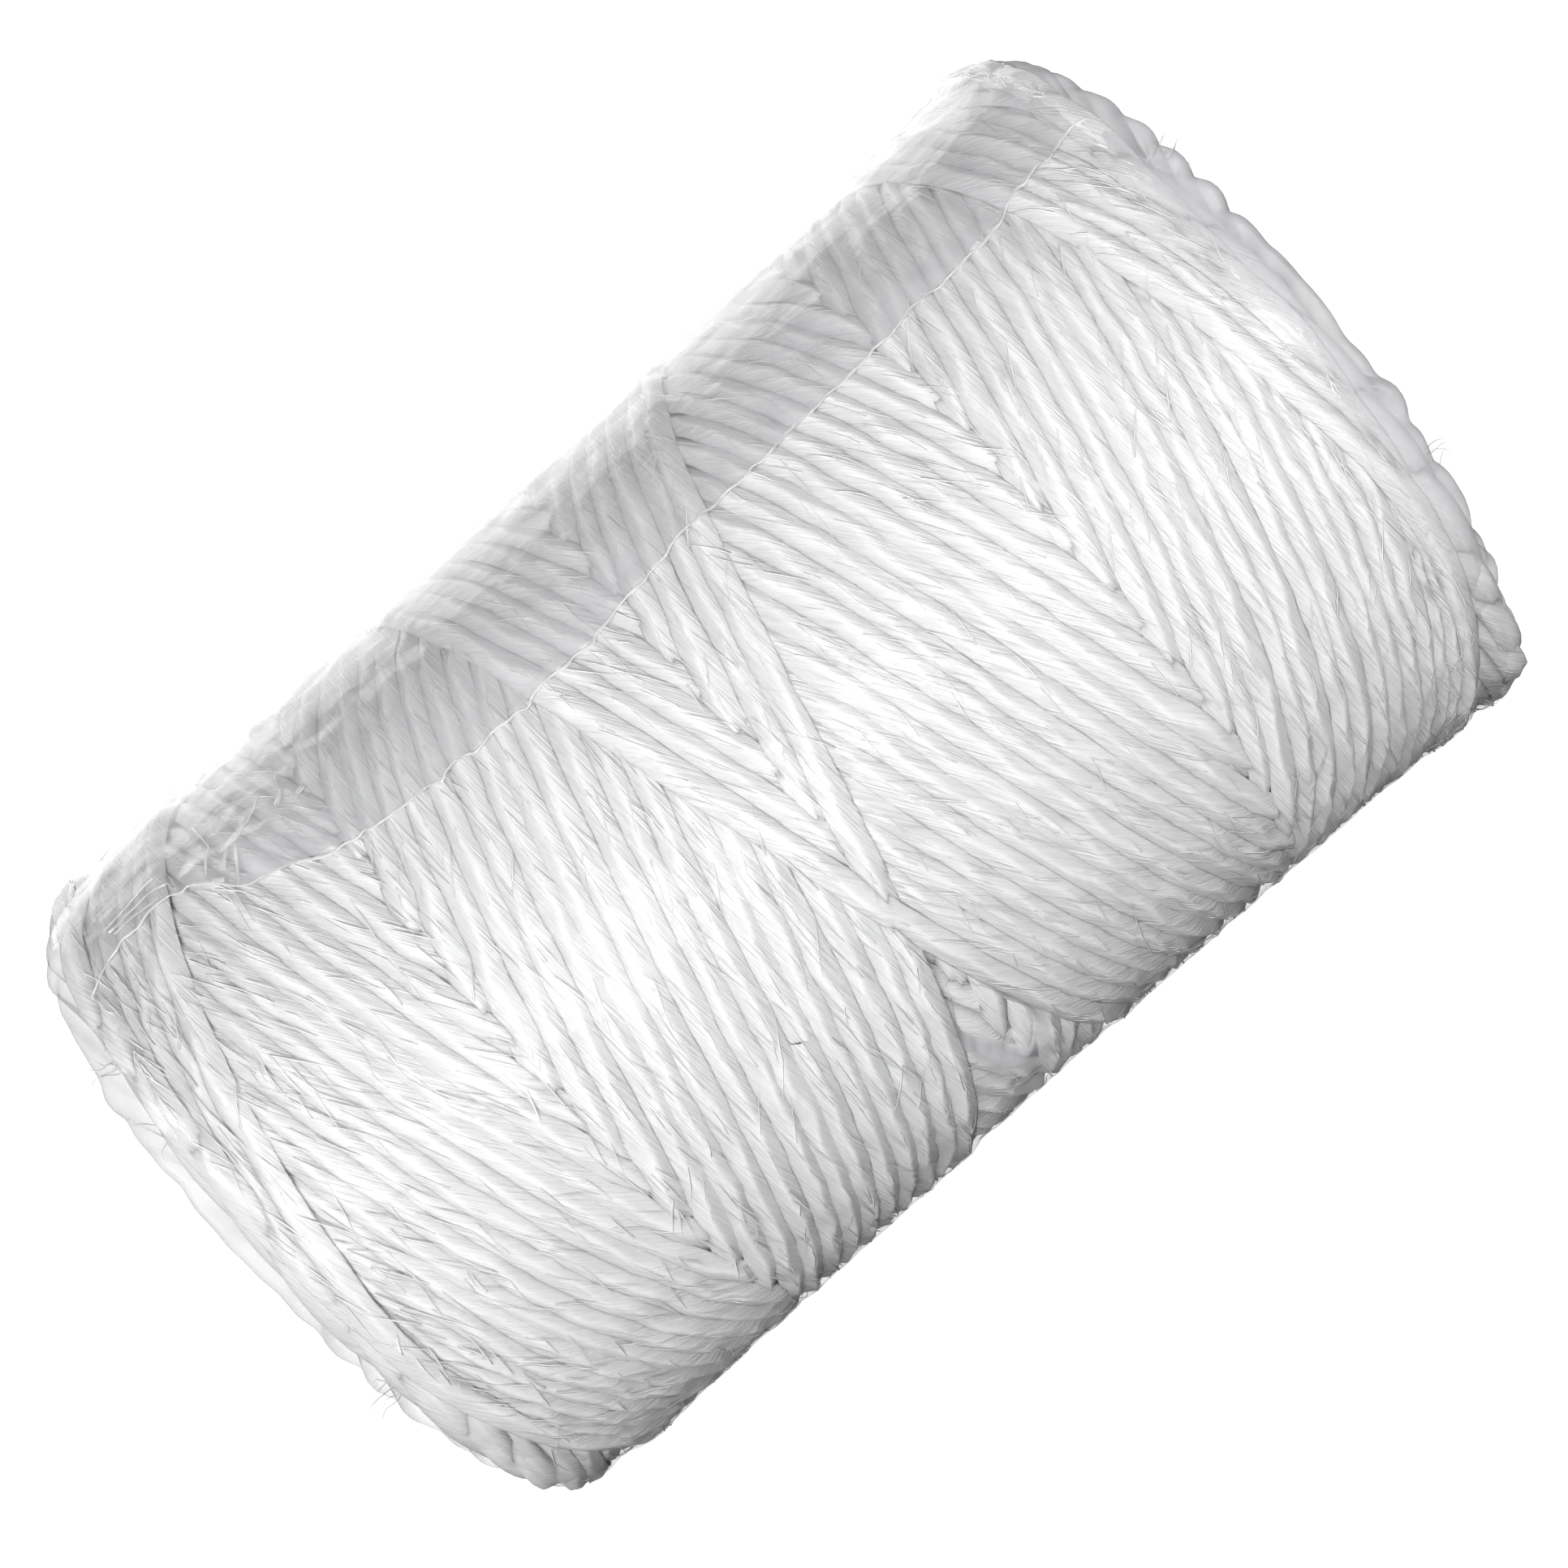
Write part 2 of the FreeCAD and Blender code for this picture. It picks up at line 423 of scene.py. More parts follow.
UNDERSIDE = [-0.6, 0, 0.6]          # places across a strand's underside
UNDERSIDE_ANGLES = math.radians(45) * np.array([5, 6, 7])
CREST_SHIFT, CREST_LENGTH = 0.25, 2.6 * MM  # how far the crest wanders, and over what length
SWELL_LOBES, SWELL_LENGTH = 5, 2.1 * MM
FIBRE_RIDGES, FIBRE_LENGTH = 15, 4.0 * MM
FIBRE_HEIGHT = 0.045 * MM
RIM_APPROACH = 2.5 * MM             # strands flatten from two to one of these before the end


def strand_section(line, length, across, on_top, ring_turn, rng):
    """For the points round a strand at each place along it: how far they lie across it and out of the
    roll, and their share of the crest's height."""
    crest = CREST_SHIFT * wavering(length, CREST_LENGTH, rng)[:, None].clip(-1.6, 1.6)
    from_crest = np.where(across > crest, (across - crest) / (1 - crest), (crest - across) / (1 + crest))
    fall = np.hypot(from_crest, RIDGE_ROUNDING) - RIDGE_ROUNDING
    ridge = (1 - fall / (math.hypot(1, RIDGE_ROUNDING) - RIDGE_ROUNDING)) ** RIDGE_SHARPNESS
    swell = round_noise(length, ring_turn, SWELL_LOBES, SWELL_LENGTH, rng)
    fibres = round_noise(length, ring_turn, FIBRE_RIDGES, FIBRE_LENGTH, rng)
    width = STRAND_WIDTH / 2 * (1 + 0.05 * wavering(length, 6 * MM, rng)[:, None] + 0.04 * swell)
    past_rim = ((np.abs(line[:, :1]) - HALF_LENGTH) / RIM_APPROACH + 2).clip(0, 1)
    crest_height = STRAND_CREST * (1 - RIM_FLATTENING * past_rim)
    height = np.where(on_top, ridge * crest_height, -STRAND_BELLY * np.sqrt(1 - across**2))
    height = height * (1 + 0.07 * wavering(length, 3.3 * MM, rng)[:, None] + 0.08 * swell)
    return width * across, height + on_top * FIBRE_HEIGHT * fibres, np.where(on_top, ridge, 0)


def strand_uvs(length, ring_turn):
    """For each corner of each face of a strand: how far along the twine it is, and its turn round the
    strand."""
    next_turn = np.roll(ring_turn, -1, axis=1)
    next_turn[:, -1] += 1
    base = np.floor(ring_turn[:-1])
    here, there = [np.broadcast_to(row[:, None], base.shape) for row in (length[:-1], length[1:])]
    corners = [(here, ring_turn[:-1] - base), (here, next_turn[:-1] - base),
               (there, next_turn[1:] - base), (there, ring_turn[1:] - base)]
    return np.stack([np.stack(corner, axis=-1) for corner in corners], axis=2).reshape(-1, 4, 2)


def strand_tube(name, line, start, top_points, rng, material):
    """A pressed, twisted strand along the line: a ridge with thin sides, swelling and wandering as it
    turns, with the finer ridges of its fibres. start is how far along the whole twine it begins."""
    _, out, side = strand_frame(line)
    length = start + lengths_along(line)
    across = np.concatenate([np.linspace(1, -1, top_points), UNDERSIDE])
    on_top = np.arange(len(across)) < top_points
    angle = np.concatenate([np.linspace(0, math.pi, top_points), UNDERSIDE_ANGLES])
    ring_turn = angle / FULL_TURN + length[:, None] / TWIST_PITCH
    sideways, height, ridge = strand_section(line, length, across, on_top, ring_turn, rng)
    points = line[:, None] + side[:, None] * sideways[..., None] + out[:, None] * height[..., None]
    points = points.reshape(-1, 3)
    points[:, 2] = np.maximum(points[:, 2], WINDING_FLOOR)
    faces = grid_faces(len(line), len(across), closed=True)
    uvs = strand_uvs(length, ring_turn)
    # The crest share goes on the mesh so that the twine's material paints the crests lighter and the sides
    # darker, as painted highlight and painted shade.
    return mesh_piece(name, points, faces, material, uvs, {"ridge": ridge})


# ---- Film ----
FILM_ALONG, FILM_ROUND = 200, 480   # cells of the film's map
FILM_PLACES = np.linspace(-HALF_LENGTH, HALF_LENGTH, FILM_ALONG)
FILM_TURNS = FULL_TURN * np.arange(FILM_ROUND) / FILM_ROUND
LOWEST_TOP = 0.9 * WINDING_RADIUS


def place_on_roll(points):
    """The place along, turn and radius of points."""
    height = points[:, 2] - AXIS_HEIGHT
    turn = VIEW_ELEVATION - np.arctan2(height, -points[:, 1])
    return points[:, 0], turn % FULL_TURN, np.hypot(points[:, 1], height)


def highest_near(values, reach):
    """The largest value within reach cells, on a map that closes on itself in its second direction."""
    padded = np.pad(values, ((reach, reach), (0, 0)), mode="edge")
    tall = np.max([padded[k:k + len(values)] for k in range(2 * reach + 1)], axis=0)
    return np.max([np.roll(tall, k, axis=1) for k in range(-reach, reach + 1)], axis=0)


def top_map(pieces):
    """A map of how far out the twine reaches, and at least LOWEST_TOP."""
    top = np.full((FILM_ALONG, FILM_ROUND), LOWEST_TOP)
    for piece in pieces:
        points = np.zeros(len(piece.data.vertices) * 3)
        piece.data.vertices.foreach_get("co", points)
        along, turn, radius = place_on_roll(points.reshape(-1, 3))
        np.maximum.at(top, cells_at(along, turn, top.shape), radius)
    return top


def hollows(top):
    """How far, from 0 to 1, each place of the map lies in a hollow between bands of strands, away from
    the rims."""
    depth = smooth_map(highest_near(top, HOLLOW_REACH), 6) - smooth_map(highest_near(top, 2), 5)
    from_rim = ((HALF_LENGTH - np.abs(FILM_PLACES[:, None])) / HOLLOW_RIM - 1).clip(0, 1)
    return (depth / HOLLOW_DEPTH - 1).clip(0, 1) * from_rim


def seam_turn(along):
    """Where the film's weld runs: a line that wanders, and pulls up towards the knot near the left
    end. The wander is in shares of the seam's half length and degrees below the seam's elevation."""
    wander = [(-1.12, -6), (-1.04, -13), (-0.88, -14), (-0.83, -11), (-0.78, -5), (-0.54, 2), (-0.4, 3),
              (-0.1, 2.5), (0.1, 0), (0.5, -1), (0.77, -2.5), (0.97, -5), (1.12, -5.5)]
    places, degrees = np.array(wander).T
    steps = np.linspace(-1.13, 1.13, 301)
    bend = smooth(np.interp(steps, places, degrees), 6)
    return VIEW_ELEVATION - SEAM_ELEVATION + np.radians(np.interp(along / SEAM_HALF_LENGTH, steps, bend))


def film_at(film_radius, along, turn):
    return film_radius[cells_at(along, turn, film_radius.shape)]


def rim_fall(along):
    """How far the film has come down at this place, going over its rim."""
    past = np.abs(along) - HALF_LENGTH + FILM_RIM_RADIUS
    return rim_inset(past, FILM_RIM_RADIUS, FILM_STEEPEST_RIM)


def puckers(along, turn, rng):
    """How far the film stands up in small creased folds, round the knot where it has gathered beside
    the weld."""
    round_it = turn * WINDING_RADIUS
    from_knot = (round_it - KNOT_TURN * WINDING_RADIUS) / KNOT_HEIGHT
    reach = np.hypot((along - KNOT_ALONG) / KNOT_LENGTH, from_knot)
    folds = sum(np.abs(wavering(along * math.cos(k) + round_it * math.sin(k), PUCKER_SPACING, rng))
                for k in range(4))
    return PUCKER_HEIGHT * folds * np.exp(-reach**2)


def film_haze(along, turn):
    """How milky the film is: clear on the roll, and cloudier where it has drawn together over the
    rims, most of all over the upper right one."""
    edge = np.clip(1 - (HALF_LENGTH - np.abs(along)) / HAZY_EDGE, 0, 1)
    upper = 0.7 + 0.3 * np.cos(turn - HAZY_TURN)
    strength = np.where(along > 0, 1.0, 0.4)
    return CLEAR_HAZE + (RIM_HAZE - CLEAR_HAZE) * strength * upper * edge


def build_sleeve(film_radius, hollow, material):
    """The film round the winding, between its rims."""
    inner = np.abs(FILM_PLACES) <= HALF_LENGTH - FILM_RIM_RADIUS
    points = on_roll(FILM_PLACES[inner, None], FILM_TURNS[None], film_radius[inner])
    faces = grid_faces(len(points), FILM_ROUND, closed=True)
    # Over the hollows the film gets grey milk, which is painted shade.
    haze = film_haze(FILM_PLACES[inner, None], FILM_TURNS[None]) + HOLLOW_PAINTED_SHADE * hollow[inner]
    sleeve = mesh_piece("film_sleeve_skin", points, faces, material, values={"haze": haze})
    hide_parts("film_sleeve")
    return sleeve, points


def build_gather(name, node, side, edge, rng, material):
    """One end of the film: over the rim, and gathered in pleats to a round opening over the tube."""
    turn = FILM_TURNS
    edge_along, _, edge_radius = place_on_roll(edge)
    edge_along = np.abs(edge_along)
    loose = np.cos(turn - LOOSE_TURNS[side]).clip(0) ** 2 + (0 if side > 0 else LEFT_REACH / MM)
    uneven = (0.12 * np.abs(periodic_noise(turn, range(3, 14), rng))
              + 0.07 * periodic_noise(turn, range(20, 60), rng))
    face = HALF_LENGTH + MM * (END_GAP + loose + uneven)
    pleats = periodic_noise(turn, range(34, 60), rng)
    pleats = pleats + 0.5 * periodic_noise(turn, range(12, 30), rng)
    opening = OPENING_RADIUS * (1 + 0.03 * periodic_noise(turn, range(2, 9), rng)
                                + 0.015 * periodic_noise(turn, range(20, 50), rng))
    rows = []                           # each row's place along, radius, and how gathered it is
    for angle in np.linspace(0, math.pi / 2, RIM_ROWS):
        rows.append((edge_along + (face - edge_along) * math.sin(angle),
                     edge_radius - FILM_RIM_RADIUS * (1 - math.cos(angle)), 0.25 * angle))
    start = edge_radius - FILM_RIM_RADIUS
    for step in np.linspace(0, 1, OPENING_ROWS)[1:]:
        rows.append((face, start + (opening - start) * step, 0.4 + 0.6 * step))
    along, radius, gathered = [np.stack(np.broadcast_arrays(*values, turn)[:-1]) for values in zip(*rows)]
    along = side * (along + PLEAT_HEIGHT * gathered**1.5 * pleats)
    points = on_roll(along, turn + PLEAT_LEAN * gathered * np.roll(pleats, 3), radius)
    faces = grid_faces(len(rows), FILM_ROUND, closed=True)
    haze = film_haze(points[..., 0], turn) + PLEAT_HAZE * gathered * pleats.clip(0)
    faces = faces if side > 0 else faces[:, ::-1]
    piece = mesh_piece(name, points, faces, material, values={"haze": haze})
    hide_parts(node)
    return piece


def build_overlap(film_radius, rng, material):
    """The flap of film beyond the weld, lying on the sleeve above the seam."""
    places = FILM_PLACES[np.abs(FILM_PLACES) <= HALF_LENGTH - FILM_RIM_RADIUS]
    steps = np.linspace(0, 1, OVERLAP_ROWS)[:, None]
    width = OVERLAP_ANGLE * (1 + 0.05 * np.sin(places / (9 * MM)))
    turn = seam_turn(places)[None] - steps * width[None]
    along = places[None] * np.ones_like(steps)
    ripple = np.stack([wavering(places, 5 * MM, rng) for _ in steps]).cumsum(0)
    lift = FILM_GAP * (1 + 0.8 * ripple * 0.12)
    radius = film_at(film_radius, along, turn) + np.maximum(lift, 0.05 * MM)
    points = on_roll(along, turn, radius)
    faces = grid_faces(*turn.shape)
    haze = OVERLAP_HAZE * np.interp(steps * np.ones_like(turn), *OVERLAP_FADE)
    return mesh_piece("film_overlap_skin", points, faces, material, values={"haze": haze})


def bead_points(film_radius, along, turn, half_width, rng):
    """Points of a fine uneven bead that lies on the film, BEAD_SIDES for each place along it."""
    resting = film_at(film_radius, along, turn) - rim_fall(along)
    length = lengths_along(on_roll(along, turn, resting))
    radius = smooth(resting, 3) + BEAD_HEIGHT * (0.6 + 0.35 * wavering(length, 0.9 * MM, rng))
    line = on_roll(along, turn, radius)
    _, out, side = strand_frame(line)
    angle = FULL_TURN * np.arange(BEAD_SIDES) / BEAD_SIDES
    width = half_width * (1 + 0.35 * wavering(length, 0.8 * MM, rng)).clip(0.5, 2)[:, None]
    height = BEAD_HEIGHT * (1 + 0.30 * wavering(length, 0.6 * MM, rng)).clip(0.5, 2)[:, None]
    points = line[:, None] + side[:, None] * (width * np.cos(angle))[..., None]
    return points + out[:, None] * (height * np.sin(angle))[..., None]


def build_seam(film_radius, rng, material):
    """The weld: a fine crinkled bead along the sleeve."""
    end = HALF_LENGTH - SEAM_END_GAP
    along = np.arange(-end, end, SEAM_STEP)
    turn = seam_turn(along) + 0.004 * wavering(along, 0.7 * MM, rng)
    turn = turn + 0.006 * wavering(along, 3 * MM, rng)
    points = bead_points(film_radius, along, turn, SEAM_BEAD_WIDTH, rng)
    faces = grid_faces(*points.shape[:2], closed=True)
    bead = mesh_piece("film_seam_bead", points, faces, material)
    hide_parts("film_seam")


def build_creases_and_glints(film_radius, rng, material):
    """Creases pressed into the film round the knot and beside the left rim, and at the knot a few broad
    pale beads that stand in for the film's glints, as painted highlights. Each is given by its half
    width in millimetres and the places that it joins, as shares of the winding's radius along the roll
    and as degrees of turn."""
    fine, broad = 0.08, 0.24
    creases_and_glints = [(fine, [(-1.09, -40), (-1.02, -46), (-0.93, -52)]), (fine, [(-1.42, -53), (-1.25, -53.5)]),
               (fine, [(-1.41, -51), (-1.23, -51)]), (fine, [(-1.40, -49.5), (-1.26, -49)]),
               (fine, [(-1.15, -44), (-1.10, -50), (-1.12, -58)]),
               (fine, [(-1.50, -29), (-1.545, -12), (-1.56, 4)]),
               (fine, [(-1.53, -66), (-1.555, -50), (-1.565, -36)]),
               # The broad beads are painted highlights: pale marks where the crinkled film glints at the
               # knot.
               (broad, [(-1.10, -45), (-1.06, -46.5)]), (broad, [(-0.91, -47), (-0.88, -49)]),
               (broad, [(-0.87, -45.5), (-0.83, -46.5)]), (broad, [(-1.13, -42.5), (-1.10, -42)])]
    points, faces, used = [], [], 0
    for half_width, bead_path in creases_and_glints:
        along, turn = np.array(bead_path).T * [[WINDING_RADIUS], [math.radians(1)]]
        length = lengths_along(np.stack([along, turn * WINDING_RADIUS], axis=1))
        steps = np.arange(0, length[-1], BEAD_STEP)
        turn = np.interp(steps, length, turn) + 0.008 * wavering(steps, 1.6 * MM, rng)
        bead = bead_points(film_radius, np.interp(steps, length, along), turn, half_width * MM, rng)
        faces.append(grid_faces(*bead.shape[:2], closed=True) + used)
        points.append(bead.reshape(-1, 3))
        used += len(points[-1])
    mesh_piece("film_creases", np.concatenate(points), np.concatenate(faces), material)


def fibre_mesh(name, path, thickness, material):
    """Flat fibres as one piece. path is points along each fibre, and thickness is half its width at
    each of them."""
    along_path = unit(np.gradient(path, axis=1))
    out = unit(path * [0, 1, 1] - [0, 0, AXIS_HEIGHT])
    across = unit(np.cross(out, along_path))
    thickness = thickness[..., None]
    corners = []
    for angle in FULL_TURN * (np.arange(FIBRE_SIDES) + 0.25) / FIBRE_SIDES:
        offset = math.cos(angle) * across + FIBRE_FLATNESS * math.sin(angle) * out
        corners.append(path + thickness * offset)
    points = np.stack(corners, axis=2)
    count, steps = path.shape[:2]
    each = grid_faces(steps, FIBRE_SIDES, closed=True)
    faces = each[None] + (np.arange(count) * steps * FIBRE_SIDES)[:, None, None]
    mesh_piece(name, points, faces.reshape(-1, 4), material)


def build_fibres(line, top, rng, material):
    """Fine fibres that have split from the outer turns, and lie across to their neighbours."""
    length = lengths_along(line)
    outer = np.flatnonzero(length > length[-1] - FINE_LENGTH)
    chosen = rng.choice(outer[20:-20], 3 * FIBRE_COUNT)
    along, turn, radius = place_on_roll(line[chosen])
    covered = film_at(highest_near(top, 1), along, turn) > radius + STRAND_CREST + 0.25 * MM
    chosen = chosen[~covered][:FIBRE_COUNT]
    tangent, _, side = strand_frame(line)
    lean = np.radians(rng.normal(15, 6, len(chosen)))
    lean = lean * rng.choice([1, 1, 1, 1, -1], len(chosen))
    way = rng.choice([-1, 1], len(chosen))
    heading = np.cos(lean)[:, None] * tangent[chosen] + np.sin(lean)[:, None] * side[chosen]
    heading = way[:, None] * heading
    reach = rng.uniform(1.2, 4.0, len(chosen)) * MM
    steps = np.linspace(0, 1, 5)
    curl = rng.normal(0, 0.06, len(chosen)) * reach
    path = line[chosen][:, None] + heading[:, None] * (reach[:, None] * steps)[..., None]
    path = path + side[chosen][:, None] * (curl[:, None] * steps**2)[..., None]
    path_along, path_turn, _ = place_on_roll(path.reshape(-1, 3))
    near = smooth_map(highest_near(top, 1), 1)
    lift = (-0.01 + 0.08 * np.sin(math.pi * steps) * rng.uniform(0, 1.6, (len(chosen), 1))) * MM
    surface = film_at(near, path_along, path_turn) - rim_fall(path_along) + lift.ravel()
    path = on_roll(path_along.clip(-HALF_LENGTH, HALF_LENGTH), path_turn, surface)
    taper = np.interp(steps, *FIBRE_TAPER)
    thickness = rng.uniform(0.035, 0.085, (len(chosen), 1)) * MM * taper
    path = path.reshape(len(chosen), len(steps), 3)
    fibre_mesh("twine_loose_fibres", path, thickness, material)


def build_tufts(rng, material):
    """Frayed tufts that stick out at the rims, each given by its end of the roll, its turn in degrees
    and the number of its fibres."""
    tufts = [(1, -31, 16), (1, -27, 6), (1, 27, 8), (1, 12, 3), (-1, -34, 5), (-1, -22, 3), (-1, 28, 5)]
    side, degrees, fibres = np.array(tufts).T
    side, degrees = np.repeat(side, fibres), np.repeat(degrees, fibres)
    count = len(side)
    steps = np.linspace(0, 1, 9)
    reach = rng.uniform(0.8, 2.4, (count, 1)) * MM * steps
    waves = rng.uniform(2, 7, (count, 1)) * steps + rng.uniform(0, FULL_TURN, (count, 1))
    sway = 0.35 * MM * np.sin(waves) * steps
    lean = rng.normal(0, 0.8, (count, 1))
    root = np.radians(degrees + rng.normal(0, 1.3, count))[:, None]
    turn = root + (reach * np.sin(lean) + sway) / WINDING_RADIUS
    along = side[:, None] * (HALF_LENGTH - 0.2 * MM + reach * np.cos(lean))
    radius = WINDING_RADIUS - TUFT_DEPTH + 0.5 * reach + np.roll(sway, 2, axis=0)
    thickness = TUFT_THICKNESS * np.interp(steps, *TUFT_TAPER) * np.ones((count, 1))
    fibre_mesh("twine_frayed_tufts", on_roll(along, turn, radius), thickness, material)


# ---- Materials ----
class Shading:
    """A new material, with short ways to add nodes and join them."""

    def __init__(self, name):
        self.material = bpy.data.materials.new(name)
        self.material.use_nodes = True
        self.nodes = self.material.node_tree.nodes
        self.links = self.material.node_tree.links
        self.nodes.clear()
        self.output = self.nodes.new("ShaderNodeOutputMaterial")

    def add(self, kind, operation=None, **inputs):
        """A node. Its inputs are named with _ for a space, or numbered in0, in1 and in2. Each is a
        number, a colour or another node's output."""
        node = self.nodes.new("ShaderNode" + kind)
        if operation:
            node.operation = operation
        for name, value in inputs.items():
            self.set(node, name.replace("_", " "), value)
        return node

    def set(self, node, name, value):
        numbered = name.startswith("in") and name[2:].isdigit()
        socket = node.inputs[int(name[2:]) if numbered else name]
        if isinstance(value, bpy.types.NodeSocket):
            self.links.new(value, socket)
        else:
            socket.default_value = value

    def math(self, operation, first, second=0.0):
        return self.add("Math", operation, in0=first, in1=second).outputs[0]

    def ramp(self, value, *stops):
        """A colour ramp of (place, colour) stops."""
        node = self.add("ValToRGB", Fac=value)
        while len(node.color_ramp.elements) < len(stops):
            node.color_ramp.elements.new(0.5)
        for element, (place, colour) in zip(node.color_ramp.elements, stops):
            element.position = place
            element.color = (*colour, 1)
        return node.outputs["Color"]

    def value(self, name):
        """A number that the mesh holds for each of its points."""
        node = self.add("Attribute")
        node.attribute_name = name
        return node.outputs["Fac"]

    def noise(self, vector, scale, detail=2.0):
        return self.add("TexNoise", Vector=vector, Scale=scale, Detail=detail).outputs["Fac"]

    def stretched(self, vector, x, y, z):
        return self.add("VectorMath", "MULTIPLY", in0=vector, in1=(x, y, z)).outputs[0]

    def finish(self, surface):
        self.links.new(surface, self.output.inputs["Surface"])
        return self.material


def fibre_space(shade):
    """A space that follows the twine's fibres: round the strand in X and Y, and along it in Z."""
    uv = shade.add("UVMap")
    uv.uv_map = "strand"
    split = shade.add("SeparateXYZ", Vector=uv.outputs["UV"])
    angle = shade.math("MULTIPLY", split.outputs["Y"], FULL_TURN)
    return shade.add("CombineXYZ", X=shade.math("COSINE", angle), Y=shade.math("SINE", angle),
                     Z=split.outputs["X"]).outputs[0]


def twine_material():
    """White split-film polypropylene: silky fibres that follow the twist, split and frayed. Its colour is
    painted lighter along each strand's crest and darker down its sides: painted highlight and painted
    shade.
    """
    shade = Shading("twine_polypropylene")
    space = fibre_space(shade)
    fine = shade.noise(shade.stretched(space, 6.0, 6.0, 260.0), 1.0, 3.0)
    broad = shade.noise(shade.stretched(space, 3.0, 3.0, 110.0), 1.0, 2.0)
    split = shade.noise(shade.stretched(space, 5.0, 5.0, 420.0), 1.0, 1.0)
    relief = shade.math("ADD", fine, shade.math("MULTIPLY", broad, 0.8))
    # The crest share lightens the colour at each strand's crest and darkens its sides, as painted
    # highlight and painted shade, on top of the random tone of the splits.
    ridge = shade.value("ridge")
    painted_crest_highlight = shade.math("MULTIPLY", shade.math("POWER", ridge, 8.0), 0.55)
    split_tone_and_painted_crest = shade.math("ADD", shade.math("MULTIPLY", split, 0.55), shade.math("MULTIPLY", ridge, 0.25))
    colour = shade.ramp(shade.math("ADD", split_tone_and_painted_crest, painted_crest_highlight), (0.20, (0.81, 0.81, 0.82)),
                        (0.50, (0.88, 0.88, 0.885)), (0.85, (0.99, 0.99, 0.99)))
    bump = shade.add("Bump", Strength=0.8, Distance=0.25 * MM, Height=relief)
    surface = shade.add("BsdfPrincipled", Base_Color=colour, Roughness=0.48, Specular_IOR_Level=1.0,
                        Subsurface_Weight=0.55, Subsurface_Scale=0.6 * MM, Subsurface_Radius=(1, 1, 1),
                        Coat_Weight=0.2, Coat_Roughness=0.15, Normal=bump.outputs[0])
    return shade.finish(surface.outputs[0])


def fibre_material():
    """Single fibres of the same film: clearer and glossier than the strand."""
    shade = Shading("twine_loose_fibre")
    surface = shade.add("BsdfPrincipled", Base_Color=(0.97, 0.97, 0.97, 1), Roughness=0.2,
                        Specular_IOR_Level=0.8)
    return shade.finish(surface.outputs[0])


def film_material():
    """Clear shrink film: a gloss that grows at a glance, fine wrinkles, and the milkiness that its
    mesh gives, which over the hollows between bands of strands is painted shade."""
    shade = Shading("film_clear")
    place = shade.add("TexCoord").outputs["Object"]
    wrinkles = shade.noise(shade.stretched(place, 90.0, 260.0, 260.0), 1.0, 4.0)
    grain = shade.noise(place, 1500.0, 2.0)
    relief = shade.math("ADD", wrinkles, shade.math("MULTIPLY", grain, 0.12))
    bump = shade.add("Bump", Strength=0.5, Distance=0.4 * MM, Height=relief).outputs[0]
    gloss = shade.add("BsdfGlossy", Color=(1, 1, 1, 1), Roughness=0.12, Normal=bump).outputs[0]
    milk = shade.add("BsdfDiffuse", Color=(0.70, 0.70, 0.72, 1), Normal=bump).outputs[0]
    clear = shade.add("BsdfTransparent", Color=(1, 1, 1, 1)).outputs[0]
    patches = shade.noise(place, 120.0, 2.0)
    # The mesh's haze holds the film's milkiness and, over the hollows, painted shade.
    milkiness_and_painted_shade = shade.math("MULTIPLY", shade.math("ADD", patches, 0.5), shade.value("haze"))
    body = shade.add("MixShader", in0=milkiness_and_painted_shade, in1=clear, in2=milk).outputs[0]
    glance = shade.math("POWER", shade.add("LayerWeight", Blend=0.5, Normal=bump).outputs["Facing"], 4.0)
    mirror = shade.math("ADD", shade.math("MULTIPLY", glance, 0.30), 0.004)
    return shade.finish(shade.add("MixShader", in0=mirror, in1=body, in2=gloss).outputs[0])


def weld_material():
    """The weld: thick, glassy and pale where the film has melted together."""
    shade = Shading("film_weld")
    place = shade.add("TexCoord").outputs["Object"]
    knots = shade.noise(place, 900.0, 3.0)
    colour = shade.ramp(knots, (0.35, (0.80, 0.80, 0.81)), (0.6, (0.95, 0.95, 0.95)))
    bump = shade.add("Bump", Strength=0.6, Distance=0.15 * MM, Height=knots).outputs[0]
    surface = shade.add("BsdfPrincipled", Base_Color=colour, Roughness=0.12, Specular_IOR_Level=0.7,
                        Normal=bump)
    clear = shade.add("BsdfTransparent", Color=(1, 1, 1, 1)).outputs[0]
    return shade.finish(shade.add("MixShader", in0=0.5, in1=clear, in2=surface.outputs[0]).outputs[0])


